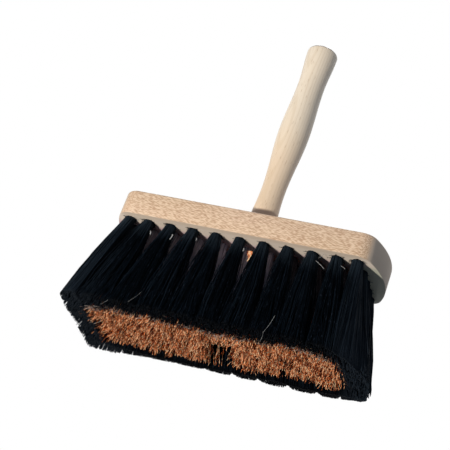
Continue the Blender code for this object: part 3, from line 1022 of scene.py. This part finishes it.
def loose_paths(tuft, rings):
    """The loose fibres of a tuft: paths with a slight bow, radii and shades."""
    share = np.linspace(0.0, 1.0, rings)[:, None]
    paths, radii, shades = [], [], []
    for radius, shade, start, end in LOOSE_FIBRES.get(tuft["name"], []):
        path = (np.array(start) * (1 - share) + np.array(end) * share) / 1000
        path[:, 0] += LOOSE_BOW * np.sin(math.pi * share[:, 0])
        paths.append(path)
        radii.append(np.full(rings, radius / 1000))
        shades.append(shade)
    return np.array(paths).reshape(-1, rings, 3), np.array(radii).reshape(-1, rings), shades


def stub_paths(tuft, rings, dice):
    """Short fibre ends that stand out round the head of a tuft, just under the block."""
    angle = dice.uniform(0.0, math.tau, STUBS)
    away = np.stack([np.cos(angle), np.sin(angle)], 1)
    start = tuft["root"] + away * PACKED_RADIUS * STUB_RING
    start = np.concatenate([start, np.full((STUBS, 1), LOWER_FACE - STUB_BELOW)], 1)
    drop = dice.uniform(0.0, STUB_DROP, (STUBS, 1))
    run = away * dice.uniform(*STUB_REACH, (STUBS, 1)) + dice.normal(0.0, STUB_UNEVEN, (STUBS, 2))
    share = np.linspace(0.0, 1.0, rings)[None, :, None]
    return start[:, None] + np.concatenate([run, -drop], 1)[:, None] * share


def fibre_mesh(name, paths, radii, shades, loose, dice):
    """Tubes along the paths, with each fibre's own shade and a baking map of its own column.

    The last few are loose and have one colour from end to end, so "along" is level on them."""
    count, rings = paths.shape[:2]
    sides = FIBRE_SIDES
    turn = dice.uniform(0.0, math.tau, (count, 1, 1)) + math.tau * np.arange(sides) / sides
    points = np.repeat(paths[:, :, None], sides, 2)
    points[..., 0] += radii[..., None] * np.cos(turn)
    points[..., 1] += radii[..., None] * np.sin(turn)
    points[..., 2] = np.maximum(points[..., 2], 0.0)
    index = np.arange(count * rings * sides).reshape(count, rings, sides)
    after = np.roll(index, -1, 2)
    quads = np.stack([index[:, 1:], after[:, 1:], after[:, :-1], index[:, :-1]], -1)
    caps = index[:, -1, ::-1]
    mesh = bpy.data.meshes.new(name)
    faces = quads.reshape(-1, 4).tolist() + caps.tolist()
    mesh.from_pydata(points.reshape(-1, 3).tolist(), [], faces)
    smooth = np.ones(len(faces), bool)
    smooth[-count:] = False
    mesh.polygons.foreach_set("use_smooth", smooth)
    strand = np.repeat(shades, rings * sides)
    along = np.tile(np.repeat(np.array((0.0, *FIBRE_DROPS)), sides), count)
    along[(count - loose) * rings * sides:] = LOOSE_LEVEL
    for key, values in (("strand", strand), ("along", along)):
        layer = mesh.attributes.new(key, "FLOAT", "POINT")
        layer.data.foreach_set("value", values.astype(np.float32))
    add_bake_map(mesh, count, rings, sides)
    return mesh


def add_bake_map(mesh, count, rings, sides):
    """Each side of each fibre gets a narrow upright strip of the map, and each tip the end of one."""
    columns = math.ceil(math.sqrt(count * MAP_TALLNESS / sides))
    rows = math.ceil(count / columns)
    k = np.arange(count)
    left, low = ((k % columns) / columns)[:, None], ((k // columns) / rows)[:, None]
    wide, high = 1 / columns, 1 / rows
    side = np.arange(sides)[None]
    levels = low + high * (MAP_SIDES_FROM + MAP_SIDES_HEIGHT * np.linspace(0, 1, rings))[None]
    u0 = left + wide * (side + MAP_SIDE_MARGIN) / sides
    u1 = left + wide * (side + 1 - MAP_SIDE_MARGIN) / sides
    quads = np.zeros((count, rings - 1, sides, 4, 2))
    quads[..., 0, 0] = quads[..., 3, 0] = u0[:, None]
    quads[..., 1, 0] = quads[..., 2, 0] = u1[:, None]
    quads[..., 0, 1] = quads[..., 1, 1] = levels[:, 1:, None]
    quads[..., 2, 1] = quads[..., 3, 1] = levels[:, :-1, None]
    corner_u = np.array([MAP_TIP_LEFT, MAP_TIP_LEFT, MAP_TIP_RIGHT, MAP_TIP_RIGHT])
    corner_v = MAP_TIP_FROM + MAP_TIP_HEIGHT * np.array([0.0, 1.0, 1.0, 0.0])
    caps = np.stack([left + wide * corner_u[None], low + high * corner_v[None]], -1)
    uv = np.concatenate([quads.reshape(-1, 2), caps.reshape(-1, 2)])
    layer = mesh.uv_layers.new(name="OFBake")
    layer.data.foreach_set("uv", uv.astype(np.float32).ravel())


def tuft_style(tuft):
    if not tuft["rim"]:
        return CORE_STYLES.get(tuft["column"], COCO_STYLE)
    side = tuft["name"].split("_")[2]
    return NAMED_STYLES.get(tuft["name"], RIM_STYLES[side])


def make_tuft(tuft, material):
    """One tuft of single fibres, with its stubs and its loose fibres."""
    name = tuft["name"] + "_fibres"
    slot, usual, radius = ("coco_fibre", COCO_FIBRES, COCO_RADIUS)
    if tuft["rim"]:
        slot, usual, radius = ("black_fibre", BLACK_FIBRES, BLACK_RADIUS)
    style = tuft_style(tuft)
    count = round(usual * style["many"])
    dice = np.random.default_rng(sum(ord(letter) * (k + SEED_SHIFT) for k, letter in enumerate(tuft["name"])))
    paths, shades = fibre_paths(tuft, count, style, dice)
    rings = paths.shape[1]
    taper = np.linspace(1.0, TIP_TAPER, rings)[None]
    radii = radius * style["thick"] * dice.uniform(*UNEVEN_RADIUS, (count, 1)) * taper
    loose, loose_radii, loose_shades = loose_paths(tuft, rings)
    stubs = stub_paths(tuft, rings, dice)
    paths = np.concatenate([paths, stubs, loose])
    radii = np.concatenate([radii, np.full((STUBS, rings), BLACK_RADIUS), loose_radii])
    shades = np.concatenate([shades, np.full(STUBS, STUB_SHADE), loose_shades])
    mesh = fibre_mesh(name, paths, radii, shades, len(loose), dice)
    new_piece(name, mesh, material, slot, tuft["name"])


def make_floor():
    bm = bmesh.new()
    bmesh.ops.create_grid(bm, x_segments=1, y_segments=1, size=FLOOR_SIZE)
    floor = add_object("floor", mesh_from("floor", bm))
    floor.location.z = FLOOR_LEVEL
    floor.data.materials.append(floor_material())


def add_light(name, kind, toward, **settings):
    """A light that looks at the middle of the block from a direction."""
    lamp = bpy.data.lights.new(name, kind)
    for key, value in settings.items():
        setattr(lamp, key, value)
    thing = add_object(name, lamp)
    back = np.array(toward) / np.linalg.norm(toward)
    thing.location = back * LIGHT_DISTANCE + np.array([0.0, 0.0, LOWER_FACE])
    thing.rotation_euler = (math.acos(back[2]), 0.0, math.atan2(back[0], -back[1]))
    thing.visible_camera = False


def light_scene():
    """White surroundings for the eye and for reflections, and a plain soft fill for surfaces."""
    world = bpy.data.worlds.new("studio")
    bpy.context.scene.world = world
    world.use_nodes = True
    sky = Nodes(world.node_tree)
    ray = sky.add("LightPath").outputs
    white = sky.math("MAXIMUM", ray["Is Camera Ray"], ray["Is Glossy Ray"])
    white = sky.math("MAXIMUM", white, ray["Is Transmission Ray"])
    level = sky.split(sky.add("TexCoord").outputs["Generated"])["Z"]
    fill = sky.mix(sky.remap(level, *FILL_LEVELS, smooth=False), FILL_BELOW, FILL_ABOVE)
    background = sky.tree.nodes["Background"]
    sky.feed(background.inputs["Color"], sky.mix(white, fill, grey(1.0)))
    add_light("key", "AREA", TOWARD_KEY, shape="DISK", size=KEY_SIZE, energy=KEY_WATTS)
    add_light("overhead", "SUN", TOWARD_TOP, energy=TOP_STRENGTH, angle=math.radians(TOP_SOFTNESS))


def add_camera():
    data = bpy.data.cameras.new("camera")
    data.lens = CAMERA_LENS
    data.sensor_width = SENSOR_WIDTH
    data.clip_start, data.clip_end = CLIP_START, CLIP_END
    camera = add_object("camera", data)
    camera.location = CAMERA_PLACE
    camera.rotation_euler = [math.radians(angle) for angle in CAMERA_TURN]
    bpy.context.scene.camera = camera


def main():
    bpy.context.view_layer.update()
    add_camera()
    light_scene()
    make_floor()
    tufts = tuft_grid()
    make_block(tufts, beech_material())
    make_handle(turned_material())
    black, coco = black_material(), coco_material()
    for tuft in tufts:
        make_tuft(tuft, black if tuft["rim"] else coco)
    bpy.context.view_layer.update()
    bpy.context.scene.view_settings.view_transform = "Standard"


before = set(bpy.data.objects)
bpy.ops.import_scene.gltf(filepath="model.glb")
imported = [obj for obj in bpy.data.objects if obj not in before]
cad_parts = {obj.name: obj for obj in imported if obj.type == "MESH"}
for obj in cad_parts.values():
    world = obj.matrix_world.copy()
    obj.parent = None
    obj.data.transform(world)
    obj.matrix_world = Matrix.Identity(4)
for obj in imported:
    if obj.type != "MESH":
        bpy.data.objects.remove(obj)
main()
